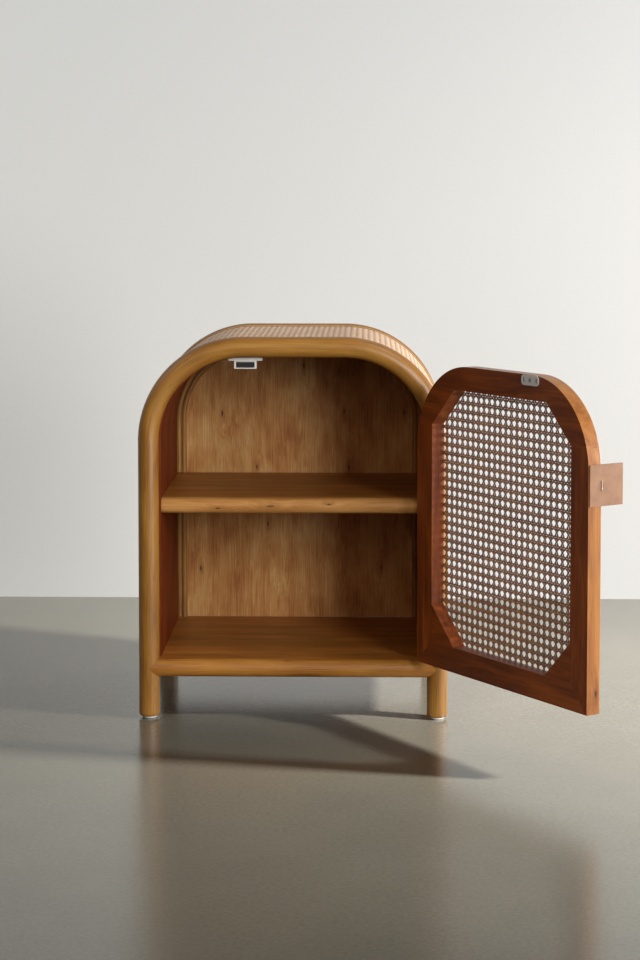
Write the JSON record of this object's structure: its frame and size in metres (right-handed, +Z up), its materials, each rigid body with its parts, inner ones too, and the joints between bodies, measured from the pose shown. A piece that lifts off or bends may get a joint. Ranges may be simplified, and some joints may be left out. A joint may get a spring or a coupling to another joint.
{
  "type": "storage side table with door",
  "caption": "Arched bent-pole side cabinet with a middle shelf, cane-covered sides and top, and a hinged arched door with a woven cane panel and a leather pull.",
  "frame": {"origin": "middle of the four feet, on the plane that they stand on", "axes": "+X to the right when facing the door side, +Y from the front to the back, +Z up"},
  "size_m": [0.6645, 0.6738, 0.558],
  "materials": {
    "rattan_pole": "honey-coloured peeled rattan, clear satin lacquer",
    "rail_rattan": "honey-coloured peeled rattan, clear satin lacquer",
    "lining_ply": "stained plywood, satin",
    "outer_ply": "raw plywood, hidden behind the cane",
    "shelf_ply": "stained plywood, satin",
    "back_ply": "stained plywood with upright grain, satin",
    "reed": "stained split reed, satin",
    "cane_skin": "peel cane laid side by side, satin",
    "cane_binding": "flat peel cane, satin",
    "door_wood": "stained solid wood, satin lacquer",
    "cane_strand": "split peel cane, woven, satin",
    "dowel_wood": "plain beech dowel",
    "leather": "tan leather, matt",
    "steel": "plated steel",
    "catch_plastic": "pale grey moulded plastic",
    "magnet": "dark ferrite magnet",
    "glide_plastic": "pale moulded plastic"
  },
  "bodies": {
    "cabinet": {"front_hoop": "rattan_pole", "back_hoop": "rattan_pole", "front_bottom_rail": "rail_rattan", "back_bottom_rail": "rail_rattan", "left_bottom_rail": "rail_rattan", "right_bottom_rail": "rail_rattan", "rail_dowels": "dowel_wood", "bottom_shelf": "shelf_ply", "middle_shelf": "shelf_ply", "middle_shelf_nosing": "rail_rattan", "shelf_dowels": "dowel_wood", "left_lining": "lining_ply", "right_lining": "lining_ply", "arch_lining": "lining_ply", "left_outer_board": "outer_ply", "right_outer_board": "outer_ply", "arch_outer_board": "outer_ply", "cane_covering": "cane_skin", "front_binding": "cane_binding", "back_binding": "cane_binding", "end_bindings": "cane_binding", "back_panel": "back_ply", "back_moulding": "reed", "catch_housing": "catch_plastic", "catch_magnet": "magnet", "catch_keepers": "steel", "catch_screws": "steel", "lower_hinge_fixed_leaf": "steel", "upper_hinge_fixed_leaf": "steel", "lower_hinge_pin": "steel", "upper_hinge_pin": "steel", "hinge_leg_screws": "steel", "front_left_glide": "glide_plastic", "front_right_glide": "glide_plastic", "back_left_glide": "glide_plastic", "back_right_glide": "glide_plastic", "glide_nails": "steel"},
    "door": {"door_hinge_stile": "door_wood", "door_free_stile": "door_wood", "door_bottom_rail": "door_wood", "door_top_rail": "door_wood", "door_hinge_shoulder": "door_wood", "door_free_shoulder": "door_wood", "door_hinge_corner_block": "door_wood", "door_free_corner_block": "door_wood", "cane_uprights": "cane_strand", "cane_crossbars": "cane_strand", "cane_left_diagonals": "cane_strand", "cane_right_diagonals": "cane_strand", "cane_spline": "cane_binding", "strike_plate": "steel", "strike_screw": "steel", "lower_hinge_door_leaf": "steel", "upper_hinge_door_leaf": "steel", "hinge_door_screws": "steel", "leather_pull": "leather", "pull_staple": "steel"}
  },
  "joints": [
    {"name": "door_hinge", "type": "hinge", "parent": "cabinet", "child": "door", "pos_m": [0.197, -0.1665, 0.2575], "axis": [0, 0, 1], "range_deg": [-123.5, 26.5]}
  ]
}
